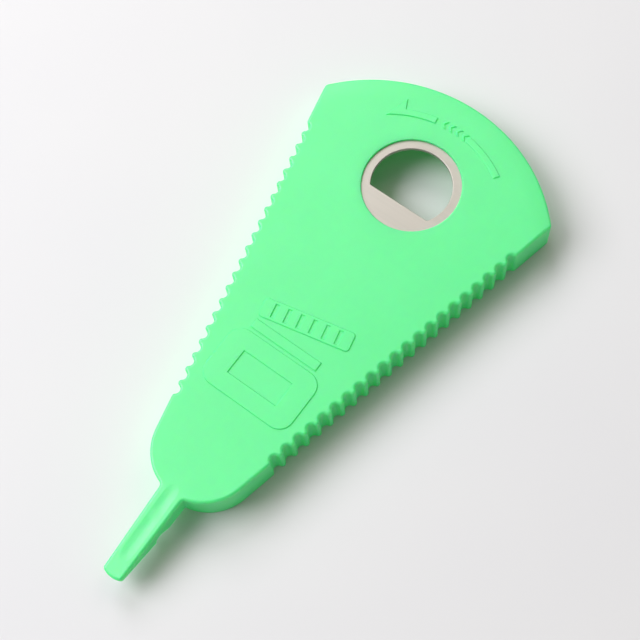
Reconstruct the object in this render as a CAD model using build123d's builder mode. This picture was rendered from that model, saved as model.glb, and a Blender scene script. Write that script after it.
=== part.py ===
from build123d import *
import os
from math import atan2, cos, pi, radians, sin, sqrt, tan

# A hand opener that lies flat: a moulded V-shaped plastic body, open below, that grips screw lids
# between its two wavy side walls, carries a pry tongue at its narrow end, and holds a steel disc
# with a D-shaped hole, which lifts crown caps.
#
# Frame, in millimetres: Z = 0 is the surface that the opener lies on, +Z is up, +Y runs along the
# axis of the V from the tongue's tip to the wide end, +X is to the right seen from above. The
# origin is under the middle of the whole length.

os.makedirs("parts", exist_ok=True)

# Whole opener
TOTAL_LENGTH = 224.8      # tip of the tongue to the crown of the wide end
HEIGHT = 16.0             # surface to flat top
WALL = 3.0                # side walls
TOP_PLATE = 3.0           # flat top

# Plan of the body
HALF_ANGLE = 12.66        # each long side, against the axis, in degrees
APEX_Y = -148.2           # where the two crest lines would meet
NARROW_Y = -56.6          # centre of the round narrow end, which is tangent to both sides
WIDE_RADIUS = 69.3        # arc of the wide end
CORNER_RADIUS = 2.0       # plan corners between the sides and the wide end
EDGE_RADIUS = 1.1         # rounded top edge, all round
RIM_EDGE = 0.3            # broken edges of the rim that the opener lies on

# Grip waves on each side
WAVE_COUNT = 21           # hollows on each side
WAVE_PITCH = 5.8          # along the side
WAVE_DEPTH = 1.9          # crest to hollow
CREST_RADIUS = 1.25       # the hollows' radius follows from pitch and depth
FIRST_WAVE = 105.6        # first hollow, along the side from the apex

# Soft crown along the wide end
CROWN_WIDTH = 8.0
CROWN_DROP = 0.6

# Pry tongue
TONGUE_ROOT_Y = -70.0     # start, inside the narrow end wall
TONGUE_ROOT_HALF = 5.2    # half widths at the start and at the tip
TONGUE_TIP_HALF = 4.25
TONGUE_TIP_BOW = 1.2      # how far the curved tip stands out past its corners
TONGUE_TIP_CORNER = 1.4
TONGUE_SLOPE = 8.0        # the top falls towards the tip, in degrees
SLOPE_START_Y = -72.6
SLOPE_BLEND = 40.0        # radius between the flat top and the slope
ROOT_FILLET = 1.6
ROOT_BOTTOM = 6.4         # heights of the lower edge, at the start and at the tip
TIP_BOTTOM = 9.0

# Ring-pull hook in the tongue's underside: lip, curved top and ramp
LIP_Y = -93.1
LIP_Z = 5.7
HOOK_TOP_Y = -91.0
HOOK_TOP_Z = 8.3
RAMP_TOP_Y = -88.6
RAMP_TOP_Z = 7.4
RAMP_FOOT_Y = -86.0
RAMP_FOOT_Z = 5.2

# Shallow trough along the tongue's top, with soft edges
TROUGH_START_Y = -70.6
TROUGH_END_Y = -108.0
TROUGH_HALF = 3.4
TROUGH_DEPTH = 0.28
TROUGH_FADE = 0.25        # share of its length over which each end runs out
TROUGH_SECTIONS = 11
TROUGH_POINTS = 9         # across each section
TROUGH_SKIM = 0.04        # the cutter's soft edges start this far above the surface

# Crown-cap lifter disc
DISC_Y = 71.4
DISC_RADIUS = 20.8
DISC_THICKNESS = 1.5
DISC_RECESS = 1.0         # below the flat top
DISC_HOLE_RADIUS = 15.8
DISC_CHORD = 8.6          # centre to the straight lifting edge
DISC_HOLE_CORNER = 0.8
DISC_EDGE = 0.25
DISC_KEY_RADIUS = 0.9     # rim notches that the plastic fills, so the disc cannot turn
DISC_KEY_COUNT = 4
DISC_KEY_START = 45.0     # degrees

# Seat of the disc
SEAT_RADIUS = 19.3        # opening above the disc
SEAT_EDGE = 0.4           # rounded edge of that opening
DISH_WIDTH = 3.0          # soft dish round it
DISH_DROP = 0.1
BORE_RADIUS = 18.5        # opening below the disc
BOSS_RADIUS = 24.0        # thickened ring below the top plate
BOSS_DEPTH = 1.5

# Stiffening gusset behind the tongue, inside the narrow end
GUSSET_THICKNESS = 4.0
GUSSET_END_Y = -59.0

# Marks that the ejector pins leave on the ceiling, left and right of the axis
PIN_RADIUS = 2.5
PIN_HEIGHT = 0.15
PIN_PLACES = [(11.0, -48.0), (19.0, 0.0), (30.0, 48.0)]

# Raised signs on the top
RELIEF = 0.45
RELIEF_EDGE = 0.3         # sloping sides

# Half-headed arrow that turns left, broken by four chevrons; its angles are in degrees, measured
# from straight ahead, left positive
ARROW_Y = 55.4            # centre of the arrow's arc
ARROW_RADIUS = 44.5
ARROW_WIDTH = 2.8
TAIL_START = -34.0
TAIL_END = -8.8
NECK_START = 9.9
NECK_END = 26.2
BARB_RADIUS = 50.5        # outer corner of the head
HEAD_TIP = 36.2
CHEVRON_ANGLES = [-6.6, -2.6, 1.4, 5.4]
CHEVRON_WIDTH = 3.4
CHEVRON_LENGTH = 1.7      # degrees
CHEVRON_STROKE = 1.7      # degrees

# Jar with its lid off
JAR_Y = -24.0
JAR_WIDTH = 40.0
JAR_HEIGHT = 25.0
JAR_CORNER = 6.0
NECK_WIDTH = 30.0
NECK_HEIGHT = 4.0
SIGN_GAP = 1.3            # between the parts of the sign
WINDOW_WIDTH = 22.0
WINDOW_HEIGHT = 10.0
LID_X = 1.5
LID_Y = 2.6
LID_TILT = 12.0
LID_WIDTH = 37.0
LID_HEIGHT = 8.0
LID_CORNER = 1.6
LID_GROOVE = 1.2
LID_GROOVE_PITCH = 5.2
LID_GROOVE_COUNT = 6

# Worked out from the above
END_Y = TOTAL_LENGTH / 2
TIP_Y = -TOTAL_LENGTH / 2
WIDE_Y = END_Y - WIDE_RADIUS
ANGLE = radians(HALF_ANGLE)
NARROW_RADIUS = (NARROW_Y - APEX_Y) * sin(ANGLE)
SIDE_START = (NARROW_Y - APEX_Y) * cos(ANGLE)
PLATE_BOTTOM = HEIGHT - TOP_PLATE
DISC_TOP = HEIGHT - DISC_RECESS
DISC_BOTTOM = DISC_TOP - DISC_THICKNESS
BOSS_BOTTOM = PLATE_BOTTOM - BOSS_DEPTH
WAVE_ARC = 2 * atan2(WAVE_DEPTH, WAVE_PITCH / 2)
SLOPE = radians(TONGUE_SLOPE)
SLOPE_BLEND_END_Y = SLOPE_START_Y - SLOPE_BLEND * sin(SLOPE)
CUT_MARGIN = 2.0          # how far cutters reach past the surfaces that they cut
SAME = 0.01               # two places nearer than this are the same
UPWARD = 0.6              # faces whose normals rise more than this belong to the top


def side_point(along, inward, side):
    """A point on a long side: distance from the apex along the crest line, then square to it."""
    x = along * sin(ANGLE) - inward * cos(ANGLE)
    y = APEX_Y + along * cos(ANGLE) + inward * sin(ANGLE)
    return (side * x, y)


def side_corner(inset):
    """How far along the side its line, moved in by inset, meets the wide end's arc."""
    reach = (WIDE_Y - APEX_Y) * cos(ANGLE)
    sideways = (WIDE_Y - APEX_Y) * sin(ANGLE) - inset
    return reach + sqrt((WIDE_RADIUS - inset) ** 2 - sideways**2)


def wavy_side(inset, side):
    """One long side from the narrow end to the wide end, as arcs tangent to each other."""
    crest_step = CREST_RADIUS * sin(WAVE_ARC)
    crest_drop = CREST_RADIUS * (1 - cos(WAVE_ARC))
    half_step = CREST_RADIUS * sin(WAVE_ARC / 2)
    half_drop = CREST_RADIUS * (1 - cos(WAVE_ARC / 2))
    first_crest = FIRST_WAVE - WAVE_PITCH / 2
    last_crest = first_crest + WAVE_COUNT * WAVE_PITCH

    before = side_point(first_crest, inset, side)
    Line(side_point(SIDE_START, inset, side), before)
    middle = side_point(first_crest + half_step, inset + half_drop, side)
    for wave in range(WAVE_COUNT):
        crest = first_crest + wave * WAVE_PITCH
        left = side_point(crest + crest_step, inset + crest_drop, side)
        bottom = side_point(crest + WAVE_PITCH / 2, inset + WAVE_DEPTH, side)
        right = side_point(crest + WAVE_PITCH - crest_step, inset + crest_drop, side)
        ThreePointArc(before, middle, left)
        ThreePointArc(left, bottom, right)
        before = right
        middle = side_point(crest + WAVE_PITCH, inset, side)
    middle = side_point(last_crest - half_step, inset + half_drop, side)
    ThreePointArc(before, middle, side_point(last_crest, inset, side))
    Line(side_point(last_crest, inset, side), side_point(side_corner(inset), inset, side))


def body_outline(inset):
    """Plan of the body, moved in by inset: round end, two wavy sides and the wide arc."""
    with BuildSketch() as outline:
        with BuildLine():
            wavy_side(inset, 1)
            ThreePointArc(
                side_point(side_corner(inset), inset, 1),
                (0, END_Y - inset),
                side_point(side_corner(inset), inset, -1),
            )
            wavy_side(inset, -1)
            ThreePointArc(
                side_point(SIDE_START, inset, -1),
                (0, NARROW_Y - NARROW_RADIUS + inset),
                side_point(SIDE_START, inset, 1),
            )
        make_face()
        by_x = outline.vertices().sort_by(Axis.X)
        fillet([by_x[0], by_x[-1]], CORNER_RADIUS)
    return outline.sketch


def tongue_top(y):
    """Height of the tongue's top: flat, then bent down round the blend, then the slope."""
    if y > SLOPE_START_Y:
        return HEIGHT
    if y > SLOPE_BLEND_END_Y:
        return HEIGHT - SLOPE_BLEND + sqrt(SLOPE_BLEND**2 - (SLOPE_START_Y - y) ** 2)
    blend_drop = SLOPE_BLEND * (1 - cos(SLOPE))
    return HEIGHT - blend_drop - (SLOPE_BLEND_END_Y - y) * tan(SLOPE)


def tongue_block():
    """Solid pry tongue: plan taper crossed with its side profile, hook and all."""
    shoulder_y = TIP_Y + TONGUE_TIP_BOW
    with BuildPart() as tongue:
        with BuildSketch(Plane.YZ):
            with BuildLine():
                Polyline(
                    (LIP_Y, LIP_Z),
                    (TIP_Y, TIP_BOTTOM),
                    (TIP_Y, HEIGHT),
                    (TONGUE_ROOT_Y, HEIGHT),
                    (TONGUE_ROOT_Y, ROOT_BOTTOM),
                    (RAMP_FOOT_Y, RAMP_FOOT_Z),
                    (RAMP_TOP_Y, RAMP_TOP_Z),
                )
                ThreePointArc((RAMP_TOP_Y, RAMP_TOP_Z), (HOOK_TOP_Y, HOOK_TOP_Z), (LIP_Y, LIP_Z))
            make_face()
        extrude(amount=TONGUE_ROOT_HALF, both=True)
        with BuildSketch() as plan:
            with BuildLine():
                Polyline(
                    (-TONGUE_TIP_HALF, shoulder_y),
                    (-TONGUE_ROOT_HALF, TONGUE_ROOT_Y),
                    (TONGUE_ROOT_HALF, TONGUE_ROOT_Y),
                    (TONGUE_TIP_HALF, shoulder_y),
                )
                ThreePointArc(
                    (TONGUE_TIP_HALF, shoulder_y),
                    (0, TIP_Y),
                    (-TONGUE_TIP_HALF, shoulder_y),
                )
            make_face()
            fillet(plan.vertices().group_by(Axis.Y)[0], TONGUE_TIP_CORNER)
        extrude(amount=HEIGHT, mode=Mode.INTERSECT)
    return tongue.part


def slope_cutter():
    """Everything above the tongue's falling top, which leaves the flat top tangentially."""
    middle_y = (SLOPE_START_Y + SLOPE_BLEND_END_Y) / 2
    beyond_y = TIP_Y - CUT_MARGIN
    with BuildPart() as cutter:
        with BuildSketch(Plane.YZ):
            with BuildLine():
                blend = ThreePointArc(
                    (SLOPE_START_Y, HEIGHT),
                    (middle_y, tongue_top(middle_y)),
                    (SLOPE_BLEND_END_Y, tongue_top(SLOPE_BLEND_END_Y)),
                )
                Polyline(
                    blend @ 1,
                    (beyond_y, tongue_top(beyond_y)),
                    (beyond_y, HEIGHT + CUT_MARGIN),
                    (SLOPE_START_Y, HEIGHT + CUT_MARGIN),
                    blend @ 0,
                )
            make_face()
        extrude(amount=NARROW_RADIUS, both=True)
    return cutter.part


def trough_cutter():
    """Shallow trough with a cosine section, deepest in the middle of the tongue."""
    with BuildPart() as cutter:
        for number in range(TROUGH_SECTIONS):
            along = number / (TROUGH_SECTIONS - 1)
            from_end = min(along, 1 - along, TROUGH_FADE) / TROUGH_FADE
            drop = (TROUGH_DEPTH + TROUGH_SKIM) * sin(from_end * pi / 2) ** 2
            y = TROUGH_START_Y + along * (TROUGH_END_Y - TROUGH_START_Y)
            edge = tongue_top(y) + TROUGH_SKIM
            with BuildSketch(Plane.XZ.offset(-y)):
                with BuildLine():
                    shares = [2 * point / (TROUGH_POINTS - 1) - 1 for point in range(TROUGH_POINTS)]
                    section = Spline(
                        [
                            (TROUGH_HALF * share, edge - drop * (1 + cos(pi * share)) / 2)
                            for share in shares
                        ],
                        tangents=[(1, 0), (1, 0)],
                    )
                    Polyline(
                        section @ 1,
                        (TROUGH_HALF, HEIGHT + CUT_MARGIN),
                        (-TROUGH_HALF, HEIGHT + CUT_MARGIN),
                        section @ 0,
                    )
                make_face()
        loft()
    return cutter.part


def crown_cutter():
    """Everything above the soft crown that follows the wide end's arc."""
    inner = WIDE_RADIUS - CROWN_WIDTH
    bend = (CROWN_WIDTH**2 + CROWN_DROP**2) / (2 * CROWN_DROP)

    def crown_point(out):
        return (inner + out, HEIGHT - bend + sqrt(bend**2 - out**2))

    with BuildPart() as cutter:
        with BuildSketch(Plane.XZ.offset(-WIDE_Y)):
            with BuildLine():
                crown = ThreePointArc(
                    crown_point(0),
                    crown_point(CROWN_WIDTH / 2),
                    crown_point(CROWN_WIDTH + CUT_MARGIN),
                )
                Polyline(
                    crown @ 1,
                    (WIDE_RADIUS + CUT_MARGIN, HEIGHT + CUT_MARGIN),
                    (inner, HEIGHT + CUT_MARGIN),
                    crown @ 0,
                )
            make_face()
        revolve(axis=Axis((0, WIDE_Y, 0), (0, 0, 1)), revolution_arc=180)
    return cutter.part


def arc_point(radius, turn):
    """A point on the turning arrow's circles."""
    return (-radius * sin(radians(turn)), ARROW_Y + radius * cos(radians(turn)))


def arrow_band(start, end):
    """One stretch of the turning arrow's band, between two angles."""
    middle = (start + end) / 2
    outer = ARROW_RADIUS + ARROW_WIDTH / 2
    inner = ARROW_RADIUS - ARROW_WIDTH / 2
    with BuildSketch() as band:
        with BuildLine():
            ThreePointArc(arc_point(outer, start), arc_point(outer, middle), arc_point(outer, end))
            Line(arc_point(outer, end), arc_point(inner, end))
            ThreePointArc(arc_point(inner, end), arc_point(inner, middle), arc_point(inner, start))
            Line(arc_point(inner, start), arc_point(outer, start))
        make_face()
    return band.sketch


def half_head():
    """The arrow's head, with a barb on its outer side only."""
    inner = ARROW_RADIUS - ARROW_WIDTH / 2
    with BuildSketch() as head:
        with BuildLine():
            ThreePointArc(
                arc_point(inner, NECK_END),
                arc_point(inner, (NECK_END + HEAD_TIP) / 2),
                arc_point(inner, HEAD_TIP),
            )
            Polyline(
                arc_point(inner, HEAD_TIP),
                arc_point(BARB_RADIUS, NECK_END),
                arc_point(inner, NECK_END),
            )
        make_face()
    return head.sketch


def chevron(base):
    """A small open arrow on the arc, pointing left."""
    outer = ARROW_RADIUS + CHEVRON_WIDTH / 2
    inner = ARROW_RADIUS - CHEVRON_WIDTH / 2
    tip = base + CHEVRON_LENGTH
    with BuildSketch() as mark:
        with BuildLine():
            Polyline(
                arc_point(outer, base - CHEVRON_STROKE),
                arc_point(ARROW_RADIUS, tip - CHEVRON_STROKE),
                arc_point(inner, base - CHEVRON_STROKE),
                arc_point(inner, base),
                arc_point(ARROW_RADIUS, tip),
                arc_point(outer, base),
                close=True,
            )
        make_face()
    return mark.sketch


def jar_sign():
    """A jar with a label window, its neck, and its ribbed lid lifted and tilted."""
    shoulder_y = JAR_Y + JAR_HEIGHT / 2
    with BuildSketch() as sign:
        with Locations((0, JAR_Y)):
            RectangleRounded(JAR_WIDTH, JAR_HEIGHT, JAR_CORNER)
            Rectangle(WINDOW_WIDTH, WINDOW_HEIGHT, mode=Mode.SUBTRACT)
        with Locations((0, shoulder_y + SIGN_GAP + NECK_HEIGHT / 2)):
            Rectangle(NECK_WIDTH, NECK_HEIGHT)
        with Locations(Location((LID_X, LID_Y, 0), (0, 0, LID_TILT))):
            RectangleRounded(LID_WIDTH, LID_HEIGHT, LID_CORNER)
            with GridLocations(LID_GROOVE_PITCH, 0, LID_GROOVE_COUNT, 1):
                Rectangle(LID_GROOVE, LID_HEIGHT - 2 * SIGN_GAP, mode=Mode.SUBTRACT)
    return sign.sketch


def disc():
    """Steel disc with a D-shaped hole: the straight edge lifts the cap."""
    with BuildPart() as plate:
        with BuildSketch(Plane.XY.offset(DISC_BOTTOM)):
            with Locations((0, DISC_Y)):
                Circle(DISC_RADIUS)
                with PolarLocations(DISC_RADIUS, DISC_KEY_COUNT, start_angle=DISC_KEY_START):
                    Circle(DISC_KEY_RADIUS, mode=Mode.SUBTRACT)
        extrude(amount=DISC_THICKNESS)
        with BuildSketch(Plane.XY.offset(DISC_BOTTOM)) as hole:
            with Locations((0, DISC_Y)):
                Circle(DISC_HOLE_RADIUS)
            with Locations((0, DISC_Y - DISC_CHORD)):
                Rectangle(
                    2 * DISC_HOLE_RADIUS,
                    2 * DISC_HOLE_RADIUS,
                    align=(Align.CENTER, Align.MIN),
                    mode=Mode.INTERSECT,
                )
            fillet(hole.vertices(), DISC_HOLE_CORNER)
        extrude(amount=DISC_THICKNESS, mode=Mode.SUBTRACT)
        top_rim = plate.faces().sort_by(Axis.Z)[-1].inner_wires()[0].edges()
        bottom_rim = plate.faces().sort_by(Axis.Z)[0].inner_wires()[0].edges()
        fillet(top_rim + bottom_rim, DISC_EDGE)
    return plate.part


def seat_cutter():
    """Openings above and below the disc, with a soft dish round the upper one."""
    dish = (DISH_WIDTH**2 + DISH_DROP**2) / (2 * DISH_DROP)

    def dish_point(inward):
        return (SEAT_RADIUS + DISH_WIDTH - inward, HEIGHT - dish + sqrt(dish**2 - inward**2))

    with BuildPart() as cutter:
        with BuildSketch(Plane.XZ.offset(-DISC_Y)) as section:
            with BuildLine():
                slope = ThreePointArc(
                    dish_point(0),
                    dish_point(DISH_WIDTH / 2),
                    dish_point(DISH_WIDTH),
                )
                Polyline(
                    slope @ 1,
                    (SEAT_RADIUS, DISC_TOP),
                    (BORE_RADIUS, DISC_BOTTOM),
                    (BORE_RADIUS, BOSS_BOTTOM - CUT_MARGIN),
                    (0, BOSS_BOTTOM - CUT_MARGIN),
                    (0, HEIGHT + CUT_MARGIN),
                    (SEAT_RADIUS + DISH_WIDTH, HEIGHT + CUT_MARGIN),
                    slope @ 0,
                )
            make_face()
            lip = section.vertices().filter_by(
                lambda v: abs(v.X - SEAT_RADIUS) < SAME and v.Y > DISC_TOP + SAME
            )
            fillet(lip, SEAT_EDGE)
        revolve(axis=Axis((0, DISC_Y, 0), (0, 0, 1)))
    return cutter.part


cap_lifter = disc()

with BuildPart() as body:
    # Outer form
    with BuildSketch():
        add(body_outline(0))
    extrude(amount=HEIGHT)
    add(tongue_block())
    roots = body.edges().filter_by(Axis.Z).filter_by(
        lambda e: abs(e.center().X) < TONGUE_ROOT_HALF + ROOT_FILLET
        and NARROW_Y - NARROW_RADIUS < e.center().Y < TONGUE_ROOT_Y
    )
    fillet(roots, ROOT_FILLET)
    add(slope_cutter(), mode=Mode.SUBTRACT)
    add(crown_cutter(), mode=Mode.SUBTRACT)

    # Rounded top edge: every edge that belongs to just one of the upward faces
    tops = [face for face in body.faces() if face.normal_at().Z > UPWARD]
    rim = ShapeList()
    for edge in body.edges():
        owners = [face for face in tops if any(edge.is_same(own) for own in face.edges())]
        if len(owners) == 1:
            rim.append(edge)
    fillet(rim, EDGE_RADIUS)
    add(trough_cutter(), mode=Mode.SUBTRACT)

    # Cavity, open below
    with BuildSketch():
        add(body_outline(WALL))
    extrude(amount=PLATE_BOTTOM, mode=Mode.SUBTRACT)

    # Ring that thickens the plate round the disc
    with BuildSketch(Plane.XY.offset(BOSS_BOTTOM)):
        with Locations((0, DISC_Y)):
            Circle(BOSS_RADIUS)
    extrude(amount=BOSS_DEPTH)

    # Gusset behind the tongue
    with BuildSketch(Plane.YZ):
        with BuildLine():
            Polyline(
                (TONGUE_ROOT_Y, ROOT_BOTTOM),
                (TONGUE_ROOT_Y, PLATE_BOTTOM),
                (GUSSET_END_Y, PLATE_BOTTOM),
                close=True,
            )
        make_face()
    extrude(amount=GUSSET_THICKNESS / 2, both=True)

    # Ejector pin marks
    with BuildSketch(Plane.XY.offset(PLATE_BOTTOM - PIN_HEIGHT)):
        for x, y in PIN_PLACES:
            with Locations((x, y), (-x, y)):
                Circle(PIN_RADIUS)
    extrude(amount=PIN_HEIGHT)

    # Broken edges of the rim
    chamfer(body.edges().group_by(Axis.Z)[0], RIM_EDGE)

    # Seat of the disc
    add(seat_cutter(), mode=Mode.SUBTRACT)
    add(cap_lifter, mode=Mode.SUBTRACT)

    # Raised signs
    with BuildSketch(Plane.XY.offset(HEIGHT)):
        add(arrow_band(TAIL_START, TAIL_END))
        add(arrow_band(NECK_START, NECK_END))
        add(half_head())
        for base in CHEVRON_ANGLES:
            add(chevron(base))
        add(jar_sign())
    extrude(amount=RELIEF)
    chamfer(body.edges().group_by(Axis.Z)[-1], RELIEF_EDGE)

body.part.label = "opener_body"
export_step(body.part, "parts/opener_body.step")
cap_lifter.label = "cap_lifter_disc"
export_step(cap_lifter, "parts/cap_lifter_disc.step")
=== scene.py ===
import math

import bpy
from mathutils import Matrix, Vector

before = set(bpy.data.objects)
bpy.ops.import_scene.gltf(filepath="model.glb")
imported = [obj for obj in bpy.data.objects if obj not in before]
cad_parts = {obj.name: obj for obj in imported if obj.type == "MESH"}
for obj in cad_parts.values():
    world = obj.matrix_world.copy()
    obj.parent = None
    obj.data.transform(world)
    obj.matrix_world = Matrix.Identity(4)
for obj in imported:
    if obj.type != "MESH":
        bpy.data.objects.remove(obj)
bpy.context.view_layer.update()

# Camera: a view from above the right side of the tongue, 70 degrees over the table
AIM = Vector((0.0023, 0.0090, 0.008))
CAMERA_DISTANCE = 0.529
CAMERA_AZIMUTH = math.radians(45.2)
CAMERA_ELEVATION = math.radians(69.9)
CAMERA_ROLL = math.radians(-9.1)
CAMERA_LENS = 79.1
SENSOR = 36.0

# Lamps, all at one distance from what they point at, and the light from all round
LAMP_DISTANCE = 1.9
WORLD_COLOUR = (1.0, 0.995, 0.93, 1)
WORLD_STRENGTH = 0.235

FLOOR_HALF = 5.0

# Range that most of a noise texture's values lie in
NOISE_LOW = 0.3
NOISE_HIGH = 0.7


def direction(azimuth, elevation):
    """Unit vector from the object towards something seen at that azimuth and elevation."""
    return Vector(
        (
            math.sin(azimuth) * math.cos(elevation),
            -math.cos(azimuth) * math.cos(elevation),
            math.sin(elevation),
        )
    )


def make_camera():
    data = bpy.data.cameras.new("camera")
    data.lens = CAMERA_LENS
    data.sensor_width = SENSOR
    camera = bpy.data.objects.new("camera", data)
    bpy.context.scene.collection.objects.link(camera)
    back = direction(CAMERA_AZIMUTH, CAMERA_ELEVATION)
    camera.location = AIM + back * CAMERA_DISTANCE
    turn = (-back).to_track_quat("-Z", "Y").to_matrix().to_4x4()
    camera.rotation_euler = (turn @ Matrix.Rotation(CAMERA_ROLL, 4, "Z")).to_euler()
    bpy.context.scene.camera = camera


def area_light(name, azimuth, elevation, width, power, colour):
    data = bpy.data.lights.new(name, "AREA")
    data.shape = "SQUARE"
    data.size = width
    data.energy = power
    data.color = colour
    light = bpy.data.objects.new(name, data)
    bpy.context.scene.collection.objects.link(light)
    towards = direction(azimuth, elevation)
    light.location = AIM + towards * LAMP_DISTANCE
    light.rotation_euler = (-towards).to_track_quat("-Z", "Y").to_euler()


def make_lights():
    """Large soft lamps round the table: a strong one on the left, and weaker ones behind."""
    lamps = [
        # name, azimuth, elevation, width, power, colour
        ("key", -60, 46, 1.3, 36.5, (0.98, 0.97, 1.00)),
        ("back_left", -123, 41, 0.9, 15.0, (0.99, 0.96, 1.00)),
        ("back", 180, 50, 0.9, 4.2, (1.00, 0.96, 0.75)),
    ]
    for name, azimuth, elevation, width, power, colour in lamps:
        area_light(name, math.radians(azimuth), math.radians(elevation), width, power, colour)
    world = bpy.data.worlds.new("studio")
    world.use_nodes = True
    background = world.node_tree.nodes["Background"]
    background.inputs["Color"].default_value = WORLD_COLOUR
    background.inputs["Strength"].default_value = WORLD_STRENGTH
    bpy.context.scene.world = world


def new_material(name):
    """An empty material with its Principled shader, and short ways to add nodes to it."""
    material = bpy.data.materials.new(name)
    material.use_nodes = True
    nodes = material.node_tree.nodes
    return material, nodes, material.node_tree.links, nodes["Principled BSDF"]


def stretched_noise(nodes, links, scale, detail, stretch=(1.0, 1.0, 1.0)):
    """Noise in object space, as many cycles to the metre as scale says, drawn out by stretch."""
    place = nodes.new("ShaderNodeTexCoord")
    mapping = nodes.new("ShaderNodeMapping")
    mapping.inputs["Scale"].default_value = stretch
    noise = nodes.new("ShaderNodeTexNoise")
    noise.inputs["Scale"].default_value = scale
    noise.inputs["Detail"].default_value = detail
    links.new(place.outputs["Object"], mapping.inputs["Vector"])
    links.new(mapping.outputs["Vector"], noise.inputs["Vector"])
    return noise.outputs["Fac"]


def spread(nodes, links, value, low, high):
    """Value from a noise, mapped from its usual range to low..high."""
    remap = nodes.new("ShaderNodeMapRange")
    remap.inputs["From Min"].default_value = NOISE_LOW
    remap.inputs["From Max"].default_value = NOISE_HIGH
    remap.inputs["To Min"].default_value = low
    remap.inputs["To Max"].default_value = high
    links.new(value, remap.inputs["Value"])
    return remap.outputs["Result"]


def blend_colours(nodes, links, value, first, second):
    """The first colour where value is 0, and the second where it is 1."""
    mix = nodes.new("ShaderNodeMix")
    mix.data_type = "RGBA"
    mix.inputs["A"].default_value = (*first, 1)
    mix.inputs["B"].default_value = (*second, 1)
    links.new(value, mix.inputs["Factor"])
    return mix.outputs["Result"]


def add_bump(nodes, links, shader, height, depth, below=None):
    """Bump as deep as depth says, in metres, on top of the one below if there is one."""
    bump = nodes.new("ShaderNodeBump")
    bump.inputs["Distance"].default_value = depth
    bump.inputs["Strength"].default_value = 1.0
    links.new(height, bump.inputs["Height"])
    if below is not None:
        links.new(below, bump.inputs["Normal"])
    links.new(bump.outputs["Normal"], shader.inputs["Normal"])
    return bump.outputs["Normal"]


def green_plastic():
    """Bright green moulded plastic: satin, translucent, with the fine grain of its mould, and a
    faint painted green glow that lifts it where it lies in shade.
    """
    material, nodes, links, shader = new_material("green_plastic")
    clouds = spread(nodes, links, stretched_noise(nodes, links, 45.0, 3.0), 0.0, 1.0)
    colour = blend_colours(nodes, links, clouds, (0.064, 0.718, 0.248), (0.072, 0.738, 0.262))
    links.new(colour, shader.inputs["Base Color"])
    grain = stretched_noise(nodes, links, 2600.0, 2.0)
    links.new(spread(nodes, links, grain, 0.46, 0.54), shader.inputs["Roughness"])
    waves = stretched_noise(nodes, links, 160.0, 2.0)
    soft = add_bump(nodes, links, shader, waves, 0.00003)
    add_bump(nodes, links, shader, grain, 0.00002, below=soft)
    shader.inputs["IOR"].default_value = 1.6
    shader.inputs["Specular IOR Level"].default_value = 1.0
    # Painted glow: a faint green emission that brightens the plastic in shade, as if light were
    # shining through it
    shader.inputs["Emission Color"].default_value = (0.0, 1.0, 0.1, 1.0)
    shader.inputs["Emission Strength"].default_value = 0.09
    shader.inputs["Subsurface Weight"].default_value = 1.0
    shader.inputs["Subsurface Radius"].default_value = (0.05, 1.0, 0.2)
    shader.inputs["Subsurface Scale"].default_value = 0.003
    return material


def steel():
    """Stamped stainless sheet with fine straight brushing across the opener."""
    material, nodes, links, shader = new_material("steel")
    streaks = stretched_noise(nodes, links, 900.0, 4.0, (0.02, 1.0, 1.0))
    tones = spread(nodes, links, streaks, 0.0, 1.0)
    colour = blend_colours(nodes, links, tones, (0.492, 0.468, 0.422), (0.538, 0.512, 0.463))
    links.new(colour, shader.inputs["Base Color"])
    links.new(spread(nodes, links, streaks, 0.48, 0.58), shader.inputs["Roughness"])
    add_bump(nodes, links, shader, streaks, 0.00001)
    shader.inputs["Metallic"].default_value = 1.0
    return material


def make_floor():
    """A pale matt table top, far larger than the opener."""
    mesh = bpy.data.meshes.new("floor")
    near, far = -FLOOR_HALF, FLOOR_HALF
    corners = [(near, near, 0), (far, near, 0), (far, far, 0), (near, far, 0)]
    mesh.from_pydata(corners, [], [(0, 1, 2, 3)])
    floor = bpy.data.objects.new("floor", mesh)
    bpy.context.scene.collection.objects.link(floor)
    material, nodes, links, shader = new_material("floor")
    mottle = spread(nodes, links, stretched_noise(nodes, links, 9.0, 2.0), 0.0, 1.0)
    colour = blend_colours(nodes, links, mottle, (0.698, 0.700, 0.714), (0.713, 0.714, 0.722))
    links.new(colour, shader.inputs["Base Color"])
    shader.inputs["Roughness"].default_value = 0.9
    mesh.materials.append(material)


def dress(node, material):
    """Give a CAD node one material."""
    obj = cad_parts[node]
    obj.data.materials.clear()
    obj.data.materials.append(material)


make_camera()
make_lights()
make_floor()
dress("opener_body", green_plastic())
dress("cap_lifter_disc", steel())
bpy.context.scene.view_settings.view_transform = "Standard"
